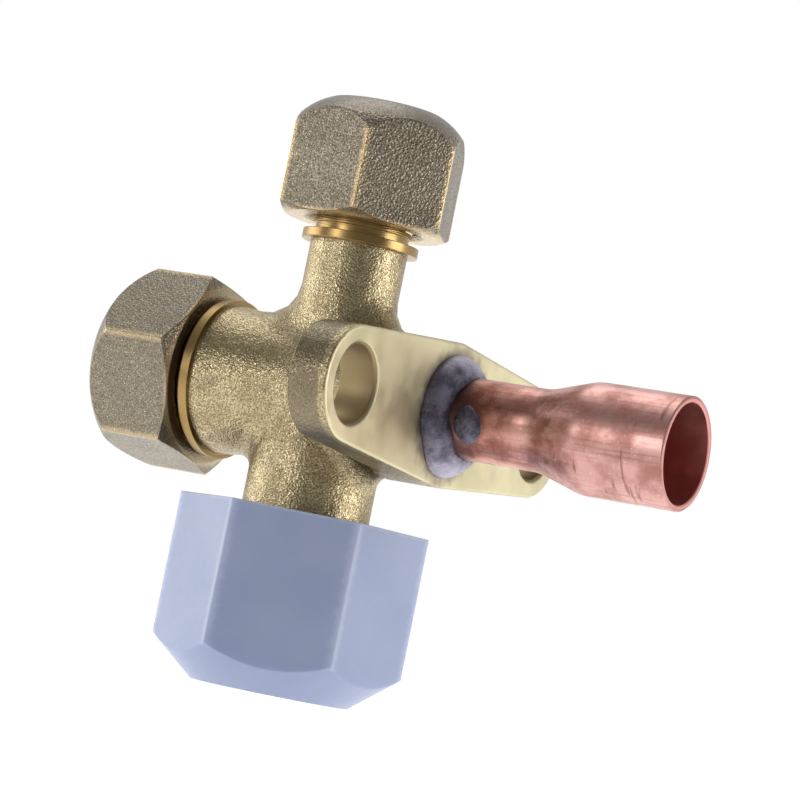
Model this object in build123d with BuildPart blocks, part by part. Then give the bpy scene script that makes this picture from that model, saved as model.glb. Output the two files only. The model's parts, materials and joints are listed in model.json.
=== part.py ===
from build123d import *
import os
from math import cos, hypot, radians, tan

# Three-way refrigerant service valve for the 3/8 inch gas line of a split air conditioner.
# Millimetres. The stem and the copper stub lie on X, the stub towards +X. The service port points up (+Z),
# the flare port down (-Z), and the flange's two bolt holes lie along Y. The origin is the centre of the
# flange's tube-side face, where the valve is bolted to its bracket.

# --- flange ---
flange_thickness = 4.0
bolt_pitch = 38.2
bolt_hole_radius = 3.7
bolt_hole_chamfer = 0.35
flange_end_radius = 5.5
flange_waist_radius = 7.1
flange_cove_radius = 1.6
flange_cove_bite = 0.15
flange_rim_fillet = 0.3

# --- copper stub: an 8 mm tube, its end expanded into a socket for 9.52 mm tube ---
tube_radius = 4.0
tube_wall = 0.6
tube_reach = 25.1
tube_insertion = 5.0
braze_gap = 0.05
socket_bore_radius = 4.85
socket_length = 9.7
expansion_length = 4.9
expansion_fillet = 5.0
tube_rim_chamfer = 0.12

# --- braze fillet round the root of the stub ---
braze_radius = 6.35
braze_height = 2.3
braze_shoulder = 1.25

# --- forged body ---
riser_distance = 13.8
barrel_radius = 6.8
barrel_mouth_radius = 7.5
barrel_flare_length = 7.0
service_neck_radius = 4.85
flare_neck_inset = 0.45
service_blend = 4.0
flare_blend = 2.2

# --- stem port, at the -X end of the barrel: M14 x 1 outside ---
stem_neck_length = 25.4
stem_collar_radius = 8.0
stem_collar_width = 1.0
stem_thread_radius = 7.0
stem_thread_depth = 0.61
stem_relief_width = 0.9
stem_relief_depth = 0.8
stem_thread_length = 6.3
stem_port_chamfer = 0.6

# --- service port, at the top: 7/16-20 UNF outside, core thread inside ---
service_neck_height = 14.9
service_collar_radius = 5.8
service_collar_width = 0.9
service_thread_radius = 5.556
service_thread_depth = 0.78
service_relief_width = 0.8
service_relief_depth = 0.9
service_thread_length = 9.4
service_nose_width = 1.5

# --- flare port, at the bottom: 5/8-18 UNF with a 45 degree nose ---
flare_neck_height = 12.6
flare_thread_radius = 7.9375
flare_thread_depth = 0.865
flare_thread_length = 12.6
flare_thread_chamfer = 0.5
flare_nose_length = 2.2
flare_nose_root = 6.4
flare_bore_radius = 3.5

# --- bores for the stem ---
head_bore_radius = 4.8
head_bore_depth = 10.2
stem_bore_radius = 4.3
seat_radius = 2.4
seat_distance = 9.0

# --- stem ---
running_clearance = 0.05
stem_head_length = 3.7
stem_head_depth = 6.3
stem_thread_run = 5.6
stem_shank_radius = 3.0
stem_tip_radius = 1.6
stem_seat_gap = 0.02
hex_key_size = 5.0
hex_key_depth = 3.4
o_ring_section = 1.2
o_ring_groove_width = 1.7
o_ring_setback = 1.0
o_ring_squeeze_gap = 0.025

# --- retaining ring in the stem bore ---
ring_setback = 0.95
ring_thickness = 0.8
ring_groove_depth = 0.5
ring_width = 1.15
ring_opening = 60.0
ring_gap = 0.03

# --- brass caps ---
cap_thread_clearance = 0.05
cap_seal_gap = 0.02
cap_rim_angle = 30.0
cap_rim_inset = 0.15
cap_lead_in = 0.45

stem_cap_flats = 17.64
stem_cap_turn = -107.5
stem_cap_rim_gap = 0.75
stem_cap_end_wall = 3.25
stem_cap_dome_height = 3.4
stem_cap_crown_radius = 6.2
stem_cap_bulge = 0.5
stem_seal_thickness = 1.0
stem_seal_inner_radius = 5.2
stem_seal_outer_radius = 6.7

service_cap_flats = 16.0
service_cap_turn = -128.3
service_cap_rim_gap = 1.2
service_cap_end_wall = 2.2
service_cap_dome_height = 3.6
service_cap_crown_radius = 5.6
service_cap_bulge = 0.5
service_seal_thickness = 0.8
service_seal_inner_radius = 2.2
service_seal_outer_radius = 4.7

# --- moulded plastic cap on the flare port ---
flare_cap_flats = 21.52
flare_cap_turn = -154.2
flare_cap_rim_depth = 11.98
flare_cap_end_wall = 2.25
flare_cap_end_gap = 0.1
flare_cap_bore_clearance = 0.1
flare_cap_cone_height = 3.75
flare_cap_flat_radius = 7.85
flare_cap_mouth_chamfer = 0.5

# --- valve core in the service port ---
core_thread_radius = 2.6
core_recess = 1.4
core_plug_length = 3.2
core_wing_height = 1.3
core_wing_width = 1.9
core_plug_bore = 0.95
core_barrel_radius = 1.9
core_barrel_length = 7.2
core_barrel_wall = 0.55
core_ledge_height = 1.0
core_ledge_bore = 0.85
core_bore_clearance = 0.15
core_bore_depth = 15.0
core_passage_radius = 1.5
core_seat_height = 1.5
core_gasket_height = 1.4
core_gasket_gap = 0.03
core_pin_radius = 0.55
core_pin_recess = 0.8
core_pin_tail = 0.25
core_collar_height = 0.6
core_collar_drop = 0.9
core_collar_radius = 1.25
core_poppet_radius = 1.75
core_poppet_height = 0.8
core_seal_height = 0.5
core_seal_radius = 1.6
core_part_gap = 0.02
spring_radius = 0.95
spring_wire_radius = 0.14
spring_turns = 6.0
spring_end_gap = 0.05

# --- places worked out from the sizes above ---
riser_x = -riser_distance
flange_back = -flange_thickness
bolt_y = bolt_pitch / 2

stem_collar_x = -stem_neck_length
stem_relief_x = stem_collar_x - stem_collar_width
stem_thread_x = stem_relief_x - stem_relief_width
stem_port_end = stem_thread_x - stem_thread_length
stem_root_radius = stem_thread_radius - stem_thread_depth
head_bore_end = stem_port_end + head_bore_depth

service_collar_z = service_neck_height
service_relief_z = service_collar_z + service_collar_width
service_thread_z = service_relief_z + service_relief_width
service_port_end = service_thread_z + service_thread_length
service_root_radius = service_thread_radius - service_thread_depth

flare_neck_radius = barrel_radius - flare_neck_inset
flare_thread_z = -flare_neck_height
flare_nose_z = flare_thread_z - flare_thread_length
flare_port_end = flare_nose_z - flare_nose_length
flare_root_radius = flare_thread_radius - flare_thread_depth
flare_nose_tip = flare_nose_root - flare_nose_length

core_plug_top = service_port_end - core_recess
core_plug_base = core_plug_top - core_plug_length
core_barrel_base = core_plug_base - core_barrel_length
core_bore_radius = core_barrel_radius + core_bore_clearance
core_mouth_radius = core_thread_radius + running_clearance
core_seat_top = core_plug_base
core_seat_base = core_seat_top - core_seat_height
core_bore_end = service_port_end - core_bore_depth
core_ledge_z = core_barrel_base + core_ledge_height
core_collar_z = core_plug_base - core_collar_drop - core_collar_height

cove_foot = barrel_radius - flange_cove_bite
seat_x = -seat_distance
ring_groove_x = stem_port_end + ring_setback
ring_groove_width = ring_thickness + 2 * ring_gap
ring_groove_radius = head_bore_radius + ring_groove_depth
ring_outer_radius = ring_groove_radius - ring_gap

stem_head_x = stem_port_end + stem_head_depth
stem_head_end = stem_head_x + stem_head_length
stem_head_radius = head_bore_radius - running_clearance
stem_cone_x = seat_x - stem_seat_gap - (stem_shank_radius - seat_radius)
stem_tip_x = seat_x - stem_seat_gap + (seat_radius - stem_tip_radius)
o_ring_groove_x = stem_head_x + o_ring_setback
o_ring_centre_radius = head_bore_radius - o_ring_squeeze_gap - o_ring_section / 2
o_ring_groove_radius = o_ring_centre_radius - o_ring_section / 2 - o_ring_squeeze_gap

expansion_end = tube_reach - socket_length
expansion_start = expansion_end - expansion_length

stem_cap_rim = stem_relief_x - stem_cap_rim_gap
stem_cap_floor = stem_port_end - stem_seal_thickness - 2 * cap_seal_gap
stem_cap_end = stem_cap_floor - stem_cap_end_wall
service_cap_rim = service_relief_z + service_cap_rim_gap
service_cap_floor = service_port_end + service_seal_thickness + 2 * cap_seal_gap
service_cap_end = service_cap_floor + service_cap_end_wall

flare_cap_rim = -flare_cap_rim_depth
flare_cap_floor = flare_port_end - flare_cap_end_gap
flare_cap_end = flare_cap_floor - flare_cap_end_wall
flare_cap_bore_radius = flare_thread_radius + flare_cap_bore_clearance
flare_cap_corner_radius = flare_cap_flats / 2 / cos(radians(30))

core_seat_slope = (core_mouth_radius - core_bore_radius) / core_seat_height
core_gasket_base = core_plug_base - core_part_gap - core_gasket_height
core_gasket_base_radius = (
    core_bore_radius + core_seat_slope * (core_gasket_base - core_seat_base) - core_gasket_gap
)
core_gasket_top_radius = core_gasket_base_radius + core_seat_slope * core_gasket_height
core_poppet_base = core_barrel_base - core_part_gap - core_seal_height - core_poppet_height
core_pin_base = core_poppet_base - core_pin_tail
core_pin_top = service_port_end - core_pin_recess
spring_base = core_ledge_z + spring_wire_radius + spring_end_gap
spring_height = core_collar_z - spring_base - spring_wire_radius - spring_end_gap

# the riser is the upright line through the service and flare ports
riser = Plane((riser_x, 0, 0))
riser_axis = Axis((riser_x, 0, 0), (0, 0, 1))
# profiles of turned pieces are drawn in this plane as (distance from the axis, height)
riser_section = Plane((riser_x, 0, 0), x_dir=(1, 0, 0), z_dir=(0, -1, 0))

os.makedirs("parts", exist_ok=True)


# the cove where the barrel meets the flange's two arms, kept within the flange's oval outline
with BuildPart() as flange_cove:
    with BuildSketch(Plane.XZ):
        with BuildLine():
            Polyline(
                (flange_back - flange_cove_radius, cove_foot),
                (flange_back - flange_cove_radius, stem_bore_radius),
                (flange_back + flange_cove_bite, stem_bore_radius),
                (flange_back + flange_cove_bite, cove_foot + flange_cove_radius),
                (flange_back, cove_foot + flange_cove_radius),
            )
            RadiusArc(
                (flange_back, cove_foot + flange_cove_radius),
                (flange_back - flange_cove_radius, cove_foot),
                -flange_cove_radius,
            )
        make_face()
    revolve(axis=Axis.X)
    with BuildSketch(Plane.YZ.offset(flange_back)):
        Circle(flange_waist_radius)
        with Locations((bolt_y, 0), (-bolt_y, 0)):
            Circle(flange_end_radius)
        make_hull()
    extrude(amount=flange_cove_radius, both=True, mode=Mode.INTERSECT)

# --- valve body: one brass forging, machined at its flange, ports and bores ---
with BuildPart() as valve_body:
    # the forged barrel along X, from the flange out to the stem port, flaring towards its mouth
    with BuildSketch(Plane.XZ):
        with BuildLine():
            Polyline(
                (flange_back, 0),
                (flange_back, barrel_radius),
                (stem_collar_x + barrel_flare_length, barrel_radius),
                (stem_collar_x, barrel_mouth_radius),
                (stem_collar_x, 0),
                close=True,
            )
        make_face()
    revolve(axis=Axis.X)
    # the forged necks down and up from the barrel, each blended into it along the curve where they meet
    with BuildSketch(riser):
        Circle(flare_neck_radius)
    extrude(amount=flare_thread_z)
    fillet(valve_body.edges(Select.NEW).filter_by(GeomType.BSPLINE), flare_blend)
    with BuildSketch(riser):
        Circle(service_neck_radius)
    extrude(amount=service_collar_z)
    fillet(valve_body.edges(Select.NEW).filter_by(GeomType.BSPLINE), service_blend)
    # the two-hole flange, an oval plate that wraps the barrel and both bolt holes
    with BuildSketch(Plane.YZ.offset(flange_back)):
        Circle(flange_waist_radius)
        with Locations((bolt_y, 0), (-bolt_y, 0)):
            Circle(flange_end_radius)
        make_hull()
    extrude(amount=flange_thickness)
    flange_faces = valve_body.faces().filter_by(Axis.X)
    fillet(flange_faces.sort_by(Axis.X)[-1].outer_wire().edges(), flange_rim_fillet)
    add(flange_cove.part)
    # the stem port: collar, relief groove and thread, turned to the root of the thread
    with BuildSketch(Plane.XZ):
        with BuildLine():
            Polyline(
                (stem_collar_x, 0),
                (stem_collar_x, stem_collar_radius),
                (stem_relief_x, stem_collar_radius),
                (stem_relief_x, stem_thread_radius - stem_relief_depth),
                (stem_thread_x, stem_thread_radius - stem_relief_depth),
                (stem_thread_x, stem_root_radius),
                (stem_port_end + stem_port_chamfer, stem_root_radius),
                (stem_port_end, stem_root_radius - stem_port_chamfer),
                (stem_port_end, 0),
                close=True,
            )
        make_face()
    revolve(axis=Axis.X)
    # the service port: collar, relief groove, thread and cone nose
    with BuildSketch(riser_section):
        with BuildLine():
            Polyline(
                (0, service_collar_z),
                (service_collar_radius, service_collar_z),
                (service_collar_radius, service_relief_z),
                (service_thread_radius - service_relief_depth, service_relief_z),
                (service_thread_radius - service_relief_depth, service_thread_z),
                (service_root_radius, service_thread_z),
                (service_root_radius, service_port_end - service_nose_width),
                (service_root_radius - service_nose_width, service_port_end),
                (0, service_port_end),
                close=True,
            )
        make_face()
    revolve(axis=riser_axis)
    # the flare port: thread and the 45 degree nose that the flared tube is drawn against
    with BuildSketch(riser_section):
        with BuildLine():
            Polyline(
                (0, flare_thread_z),
                (flare_root_radius - flare_thread_chamfer, flare_thread_z),
                (flare_root_radius, flare_thread_z - flare_thread_chamfer),
                (flare_root_radius, flare_nose_z),
                (flare_nose_root, flare_nose_z),
                (flare_nose_tip, flare_port_end),
                (0, flare_port_end),
                close=True,
            )
        make_face()
    revolve(axis=riser_axis)
    # the stepped bore on X: ring groove, stem head, tapped bore and chamber, valve seat, tube socket
    with BuildSketch(Plane.XZ):
        with BuildLine():
            Polyline(
                (stem_port_end, 0),
                (stem_port_end, head_bore_radius),
                (ring_groove_x, head_bore_radius),
                (ring_groove_x, ring_groove_radius),
                (ring_groove_x + ring_groove_width, ring_groove_radius),
                (ring_groove_x + ring_groove_width, head_bore_radius),
                (head_bore_end, head_bore_radius),
                (head_bore_end, stem_bore_radius),
                (seat_x, stem_bore_radius),
                (seat_x, seat_radius),
                (-tube_insertion, seat_radius),
                (-tube_insertion, tube_radius + braze_gap),
                (0, tube_radius + braze_gap),
                (0, 0),
                close=True,
            )
        make_face()
    revolve(axis=Axis.X, mode=Mode.SUBTRACT)
    # the flare port's bore, up into the chamber
    with BuildSketch(riser.offset(flare_port_end)):
        Circle(flare_bore_radius)
    extrude(amount=-flare_port_end, mode=Mode.SUBTRACT)
    # the service port's bore: core thread, gasket cone, barrel bore and the passage to the chamber
    with BuildSketch(riser_section):
        with BuildLine():
            Polyline(
                (0, service_port_end),
                (core_mouth_radius, service_port_end),
                (core_mouth_radius, core_seat_top),
                (core_bore_radius, core_seat_base),
                (core_bore_radius, core_bore_end),
                (core_passage_radius, core_bore_end),
                (core_passage_radius, 0),
                (0, 0),
                close=True,
            )
        make_face()
    revolve(axis=riser_axis, mode=Mode.SUBTRACT)
    # the bolt holes, their edges broken on the machined side
    with Locations(Plane.YZ):
        with Locations((bolt_y, 0), (-bolt_y, 0)):
            CounterSinkHole(
                radius=bolt_hole_radius,
                counter_sink_radius=bolt_hole_radius + bolt_hole_chamfer,
                depth=flange_thickness,
                counter_sink_angle=90,
            )

valve_body.part.label = "valve_body"
export_step(valve_body.part, "parts/valve_body.step")


# --- copper stub, brazed into the body, its end expanded into a socket ---
with BuildPart() as copper_tube:
    with BuildSketch(Plane.XZ) as tube_section:
        with BuildLine():
            Polyline(
                (-tube_insertion, tube_radius - tube_wall),
                (-tube_insertion, tube_radius),
                (expansion_start, tube_radius),
                (expansion_end, socket_bore_radius + tube_wall),
                (tube_reach, socket_bore_radius + tube_wall),
                (tube_reach, socket_bore_radius),
                (expansion_end, socket_bore_radius),
                (expansion_start, tube_radius - tube_wall),
                close=True,
            )
        make_face()
        bends = tube_section.vertices().filter_by_position(
            Axis.X, expansion_start - braze_gap, expansion_end + braze_gap
        )
        fillet(bends, expansion_fillet)
    revolve(axis=Axis.X)
    chamfer(copper_tube.edges().group_by(Axis.X)[-1], tube_rim_chamfer)

copper_tube.part.label = "copper_tube"
export_step(copper_tube.part, "parts/copper_tube.step")


# --- the fillet of braze metal between the flange and the stub ---
with BuildPart() as braze_ring:
    with BuildSketch(Plane.XZ):
        with BuildLine():
            Line((0, tube_radius), (0, braze_radius))
            ThreePointArc(
                (0, braze_radius),
                (braze_shoulder * 0.75, braze_radius - braze_shoulder * 0.25),
                (braze_shoulder, braze_radius - braze_shoulder),
            )
            Polyline(
                (braze_shoulder, braze_radius - braze_shoulder),
                (braze_height, tube_radius),
                (0, tube_radius),
            )
        make_face()
    revolve(axis=Axis.X)

braze_ring.part.label = "braze_ring"
export_step(braze_ring.part, "parts/braze_ring.step")


# --- stem: head with its O-ring groove, thread, shank and the cone that closes the seat ---
with BuildPart() as stem:
    with BuildSketch(Plane.XZ):
        with BuildLine():
            Polyline(
                (stem_head_x, 0),
                (stem_head_x, stem_head_radius),
                (o_ring_groove_x, stem_head_radius),
                (o_ring_groove_x, o_ring_groove_radius),
                (o_ring_groove_x + o_ring_groove_width, o_ring_groove_radius),
                (o_ring_groove_x + o_ring_groove_width, stem_head_radius),
                (stem_head_end, stem_head_radius),
                (stem_head_end, stem_bore_radius - running_clearance),
                (stem_head_end + stem_thread_run, stem_bore_radius - running_clearance),
                (stem_head_end + stem_thread_run, stem_shank_radius),
                (stem_cone_x, stem_shank_radius),
                (stem_tip_x, stem_tip_radius),
                (stem_tip_x, 0),
                close=True,
            )
        make_face()
    revolve(axis=Axis.X)
    with BuildSketch(Plane.YZ.offset(stem_head_x)):
        RegularPolygon(hex_key_size / 2, 6, major_radius=False)
    extrude(amount=hex_key_depth, mode=Mode.SUBTRACT)

stem.part.label = "stem"
export_step(stem.part, "parts/stem.step")


# --- the stem's O-ring, which slides with the stem but doesn't turn ---
with BuildPart() as stem_o_ring:
    with BuildSketch(Plane.XZ):
        with Locations((o_ring_groove_x + o_ring_groove_width / 2, o_ring_centre_radius)):
            Circle(o_ring_section / 2)
    revolve(axis=Axis.X)

stem_o_ring.part.label = "stem_o_ring"
export_step(stem_o_ring.part, "parts/stem_o_ring.step")


# --- snap ring that stops the stem from being screwed right out ---
with BuildPart() as stem_retaining_ring:
    with BuildSketch(Plane.YZ.offset(ring_groove_x + ring_gap)):
        Circle(ring_outer_radius)
        Circle(ring_outer_radius - ring_width, mode=Mode.SUBTRACT)
        with BuildLine():
            Polyline(
                (0, 0),
                (2 * ring_outer_radius, -2 * ring_outer_radius * tan(radians(ring_opening / 2))),
                (2 * ring_outer_radius, 2 * ring_outer_radius * tan(radians(ring_opening / 2))),
                close=True,
            )
        make_face(mode=Mode.SUBTRACT)
    extrude(amount=ring_thickness)

stem_retaining_ring.part.label = "stem_retaining_ring"
export_step(stem_retaining_ring.part, "parts/stem_retaining_ring.step")


def brass_cap(rim, flats, turn, length, dome_height, crown_radius, bulge, bore_radius, bore_depth):
    """A hexagon cap standing on its rim plane: rim corners cut to a cone, a domed end, a blind bore."""
    corner_radius = flats / 2 / cos(radians(30))
    rim_radius = flats / 2 - cap_rim_inset
    rim_rise = (corner_radius - rim_radius) * tan(radians(cap_rim_angle))
    dome_start = length - dome_height
    dome_run = corner_radius - crown_radius
    dome_slant = hypot(dome_run, dome_height)
    dome_middle = (
        (corner_radius + crown_radius) / 2 + bulge * dome_height / dome_slant,
        (dome_start + length) / 2 + bulge * dome_run / dome_slant,
    )
    section = Plane(rim.origin, x_dir=rim.x_dir, z_dir=rim.y_dir * -1)
    cap_axis = Axis(rim.origin, rim.z_dir)
    with BuildPart() as cap:
        with BuildSketch(rim):
            RegularPolygon(flats / 2, 6, major_radius=False, rotation=turn)
        extrude(amount=length)
        with BuildSketch(section):
            with BuildLine():
                Polyline(
                    (0, length),
                    (0, 0),
                    (rim_radius, 0),
                    (corner_radius, rim_rise),
                    (corner_radius, dome_start),
                )
                ThreePointArc((corner_radius, dome_start), dome_middle, (crown_radius, length))
                Line((crown_radius, length), (0, length))
            make_face()
        revolve(axis=cap_axis, mode=Mode.INTERSECT)
        with BuildSketch(section):
            with BuildLine():
                Polyline(
                    (0, 0),
                    (bore_radius + cap_lead_in, 0),
                    (bore_radius, cap_lead_in),
                    (bore_radius, bore_depth),
                    (0, bore_depth),
                    close=True,
                )
            make_face()
        revolve(axis=cap_axis, mode=Mode.SUBTRACT)
    return cap.part


# --- stem cap and the sealing washer it presses on the stem port ---
with BuildPart() as stem_cap:
    add(
        brass_cap(
            Plane((stem_cap_rim, 0, 0), x_dir=(0, 1, 0), z_dir=(-1, 0, 0)),
            stem_cap_flats,
            stem_cap_turn,
            stem_cap_rim - stem_cap_end,
            stem_cap_dome_height,
            stem_cap_crown_radius,
            stem_cap_bulge,
            stem_thread_radius + cap_thread_clearance,
            stem_cap_rim - stem_cap_floor,
        )
    )

stem_cap.part.label = "stem_cap"
export_step(stem_cap.part, "parts/stem_cap.step")

with BuildPart() as stem_cap_seal:
    with BuildSketch(Plane.YZ.offset(stem_port_end - cap_seal_gap)):
        Circle(stem_seal_outer_radius)
        Circle(stem_seal_inner_radius, mode=Mode.SUBTRACT)
    extrude(amount=-stem_seal_thickness)

stem_cap_seal.part.label = "stem_cap_seal"
export_step(stem_cap_seal.part, "parts/stem_cap_seal.step")


# --- service cap and its sealing washer ---
with BuildPart() as service_cap:
    add(
        brass_cap(
            riser.offset(service_cap_rim),
            service_cap_flats,
            service_cap_turn,
            service_cap_end - service_cap_rim,
            service_cap_dome_height,
            service_cap_crown_radius,
            service_cap_bulge,
            service_thread_radius + cap_thread_clearance,
            service_cap_floor - service_cap_rim,
        )
    )

service_cap.part.label = "service_cap"
export_step(service_cap.part, "parts/service_cap.step")

with BuildPart() as service_cap_seal:
    with BuildSketch(riser.offset(service_port_end + cap_seal_gap)):
        Circle(service_seal_outer_radius)
        Circle(service_seal_inner_radius, mode=Mode.SUBTRACT)
    extrude(amount=service_seal_thickness)

service_cap_seal.part.label = "service_cap_seal"
export_step(service_cap_seal.part, "parts/service_cap_seal.step")


# --- moulded plastic cap that covers the flare port until the line is connected ---
with BuildPart() as flare_cap:
    with BuildSketch(riser.offset(flare_cap_rim)):
        RegularPolygon(flare_cap_flats / 2, 6, major_radius=False, rotation=flare_cap_turn)
    extrude(amount=flare_cap_end - flare_cap_rim)
    # the closed end is cut to a shallow cone
    with BuildSketch(riser_section):
        with BuildLine():
            Polyline(
                (0, flare_cap_rim),
                (flare_cap_corner_radius, flare_cap_rim),
                (flare_cap_corner_radius, flare_cap_end + flare_cap_cone_height),
                (flare_cap_flat_radius, flare_cap_end),
                (0, flare_cap_end),
                close=True,
            )
        make_face()
    revolve(axis=riser_axis, mode=Mode.INTERSECT)
    with BuildSketch(riser_section):
        with BuildLine():
            Polyline(
                (0, flare_cap_rim),
                (flare_cap_bore_radius + flare_cap_mouth_chamfer, flare_cap_rim),
                (flare_cap_bore_radius, flare_cap_rim - flare_cap_mouth_chamfer),
                (flare_cap_bore_radius, flare_cap_floor),
                (0, flare_cap_floor),
                close=True,
            )
        make_face()
    revolve(axis=riser_axis, mode=Mode.SUBTRACT)

flare_cap.part.label = "flare_cap"
export_step(flare_cap.part, "parts/flare_cap.step")


# --- valve core: threaded plug with two wings for the core key ---
with BuildPart() as core_plug:
    with BuildSketch(riser.offset(core_plug_base)):
        Circle(core_thread_radius)
    extrude(amount=core_plug_length - core_wing_height)
    with BuildSketch(riser.offset(core_plug_top - core_wing_height)):
        Circle(core_thread_radius)
        Rectangle(2 * core_thread_radius, core_wing_width, mode=Mode.INTERSECT)
    extrude(amount=core_wing_height)
    with BuildSketch(riser.offset(core_plug_base)):
        Circle(core_plug_bore)
    extrude(amount=core_plug_length, mode=Mode.SUBTRACT)

core_plug.part.label = "core_plug"
export_step(core_plug.part, "parts/core_plug.step")


# --- valve core: barrel, with the ledge that carries the spring ---
with BuildPart() as core_barrel:
    with BuildSketch(riser.offset(core_barrel_base)):
        Circle(core_barrel_radius)
    extrude(amount=core_barrel_length)
    with BuildSketch(riser.offset(core_ledge_z)):
        Circle(core_barrel_radius - core_barrel_wall)
    extrude(amount=core_barrel_length - core_ledge_height, mode=Mode.SUBTRACT)
    with BuildSketch(riser.offset(core_barrel_base)):
        Circle(core_ledge_bore)
    extrude(amount=core_ledge_height, mode=Mode.SUBTRACT)

core_barrel.part.label = "core_barrel"
export_step(core_barrel.part, "parts/core_barrel.step")


# --- valve core: cone gasket between the barrel and the service port's bore ---
with BuildPart() as core_gasket:
    with BuildSketch(riser_section):
        with BuildLine():
            Polyline(
                (core_barrel_radius + core_part_gap, core_gasket_base),
                (core_gasket_base_radius, core_gasket_base),
                (core_gasket_top_radius, core_gasket_base + core_gasket_height),
                (core_barrel_radius + core_part_gap, core_gasket_base + core_gasket_height),
                close=True,
            )
        make_face()
    revolve(axis=riser_axis)

core_gasket.part.label = "core_gasket"
export_step(core_gasket.part, "parts/core_gasket.step")


# --- valve core: pin, the collar staked on it, the poppet cup and its rubber seal ---
with BuildPart() as core_pin:
    with BuildSketch(riser.offset(core_pin_base)):
        Circle(core_pin_radius)
    extrude(amount=core_pin_top - core_pin_base)

core_pin.part.label = "core_pin"
export_step(core_pin.part, "parts/core_pin.step")

with BuildPart() as core_collar:
    with BuildSketch(riser.offset(core_collar_z)):
        Circle(core_collar_radius)
        Circle(core_pin_radius, mode=Mode.SUBTRACT)
    extrude(amount=core_collar_height)

core_collar.part.label = "core_collar"
export_step(core_collar.part, "parts/core_collar.step")

with BuildPart() as core_poppet:
    with BuildSketch(riser.offset(core_poppet_base)):
        Circle(core_poppet_radius)
        Circle(core_pin_radius, mode=Mode.SUBTRACT)
    extrude(amount=core_poppet_height)

core_poppet.part.label = "core_poppet"
export_step(core_poppet.part, "parts/core_poppet.step")

with BuildPart() as core_poppet_seal:
    with BuildSketch(riser.offset(core_poppet_base + core_poppet_height)):
        Circle(core_seal_radius)
        Circle(core_pin_radius, mode=Mode.SUBTRACT)
    extrude(amount=core_seal_height)

core_poppet_seal.part.label = "core_poppet_seal"
export_step(core_poppet_seal.part, "parts/core_poppet_seal.step")


# --- valve core: spring that holds the pin up and the poppet shut ---
with BuildPart() as core_spring:
    with BuildLine() as coil:
        Helix(
            pitch=spring_height / spring_turns,
            height=spring_height,
            radius=spring_radius,
            center=(riser_x, 0, spring_base),
        )
    with BuildSketch(Plane(coil.line @ 0, z_dir=coil.line % 0)):
        Circle(spring_wire_radius)
    sweep(path=coil.line)

core_spring.part.label = "core_spring"
export_step(core_spring.part, "parts/core_spring.step")
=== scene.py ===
# %% [markdown]
# # A refrigerant service valve, dressed for its portrait
#
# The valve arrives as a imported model: one solid for each real piece, in metres, each already in place.
# This lesson leaves those solids where they are and gives them what a solid can't have: the grain of a
# forging, the speckle of blasted caps, the lumps of a braze, and the threads under the caps.
# The first step loads the solids and notes how large they are, because nothing may grow past them.

# %% Load the solids
import json
import math

import bpy
import numpy as np
from mathutils import Matrix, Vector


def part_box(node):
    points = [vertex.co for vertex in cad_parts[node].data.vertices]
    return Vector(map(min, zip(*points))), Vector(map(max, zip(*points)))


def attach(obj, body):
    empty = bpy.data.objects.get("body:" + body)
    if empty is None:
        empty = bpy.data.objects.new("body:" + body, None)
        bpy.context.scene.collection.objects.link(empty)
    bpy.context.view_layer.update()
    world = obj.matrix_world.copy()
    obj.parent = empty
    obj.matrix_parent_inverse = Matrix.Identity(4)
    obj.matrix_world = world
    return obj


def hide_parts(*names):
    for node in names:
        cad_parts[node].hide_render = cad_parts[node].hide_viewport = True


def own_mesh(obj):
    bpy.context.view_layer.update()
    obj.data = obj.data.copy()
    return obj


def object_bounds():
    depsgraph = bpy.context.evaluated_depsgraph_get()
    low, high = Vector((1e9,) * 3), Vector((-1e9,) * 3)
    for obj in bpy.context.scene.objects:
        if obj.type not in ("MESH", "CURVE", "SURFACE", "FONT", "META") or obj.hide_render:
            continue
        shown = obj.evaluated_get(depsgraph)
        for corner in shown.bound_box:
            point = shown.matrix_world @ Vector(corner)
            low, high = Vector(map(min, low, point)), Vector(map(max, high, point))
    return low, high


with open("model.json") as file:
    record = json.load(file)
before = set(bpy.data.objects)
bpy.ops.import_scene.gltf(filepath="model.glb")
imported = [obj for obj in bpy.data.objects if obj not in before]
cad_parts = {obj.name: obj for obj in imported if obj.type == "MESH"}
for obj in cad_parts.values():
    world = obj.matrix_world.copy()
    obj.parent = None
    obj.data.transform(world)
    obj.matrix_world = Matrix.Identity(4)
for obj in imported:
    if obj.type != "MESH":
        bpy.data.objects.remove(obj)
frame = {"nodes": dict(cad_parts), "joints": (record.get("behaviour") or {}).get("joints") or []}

solid_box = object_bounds()
nodes = frame["nodes"]
MM = 0.001
print("pieces:", len(nodes), "box in mm:", np.round(np.array(solid_box) / MM, 1).tolist())

# %% [markdown]
# ## Where things are
#
# Every later step needs a few places, above all the line that the two upright ports share. They could
# be typed in again, but then a changed solid would leave its threads behind. So they are read from the
# boxes of the solids, and only what a box can't tell is written down as a number. How far each joint
# slides is read too, because the floor must lie below the plastic cap when it is off.

# %% Read the places off the solids
def corners(name):
    """The lowest and highest corner of a solid, as two arrays of x, y and z in metres."""
    low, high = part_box(name)
    return np.array(low), np.array(high)


plug_low, plug_high = corners("core_plug")
riser_x = (plug_low[0] + plug_high[0]) / 2
slides = [joint for joint in frame["joints"] if joint["type"] == "slide"]
reach = {joint["name"]: joint["range_m"][1] for joint in slides}
print("riser at x =", round(riser_x / MM, 2), "mm")
print("slides in mm:", {name: round(far / MM, 2) for name, far in reach.items()})

# %% [markdown]
# ## The camera
#
# The portrait is taken from a little below the valve, off to one side, with a long lens and the camera
# tipped. The direction is worked out from three angles instead of being dragged into place: one round
# the valve, one up or down, and one of tilt. A long lens keeps the hexagons from looking wedged.
# The focal length is written as a share of the picture's width, so it doesn't depend on a sensor.

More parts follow.
